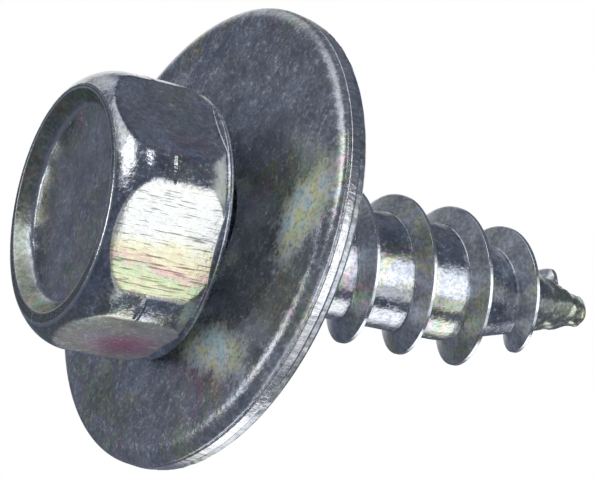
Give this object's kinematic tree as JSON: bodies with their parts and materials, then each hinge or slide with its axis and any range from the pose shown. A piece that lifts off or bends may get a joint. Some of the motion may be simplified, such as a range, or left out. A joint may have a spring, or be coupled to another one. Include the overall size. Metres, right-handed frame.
{
  "type": "sheet metal screw",
  "caption": "Self-tapping sheet metal screw with an indented hex head, a coarse right-hand thread, a gimlet point and a loose captive washer, zinc plated.",
  "frame": {"origin": "centre of the rim of the head, in the plane on which the screw stands", "axes": "+Z along the screw's axis toward the point, X through two corners of the hex"},
  "size_m": [0.0186, 0.0187, 0.0237],
  "materials": {
    "screw": "zinc plate with an iridescent passivation, semi-gloss",
    "washer": "zinc plate with an iridescent passivation, mottled semi-gloss"
  },
  "bodies": {
    "screw": {"screw": "screw"},
    "washer": {"washer": "washer"}
  },
  "joints": [
    {"name": "washer_spin", "type": "hinge", "parent": "screw", "child": "washer", "pos_m": [0, 0, 0.0062], "axis": [0, 0, 1], "continuous": true}
  ]
}
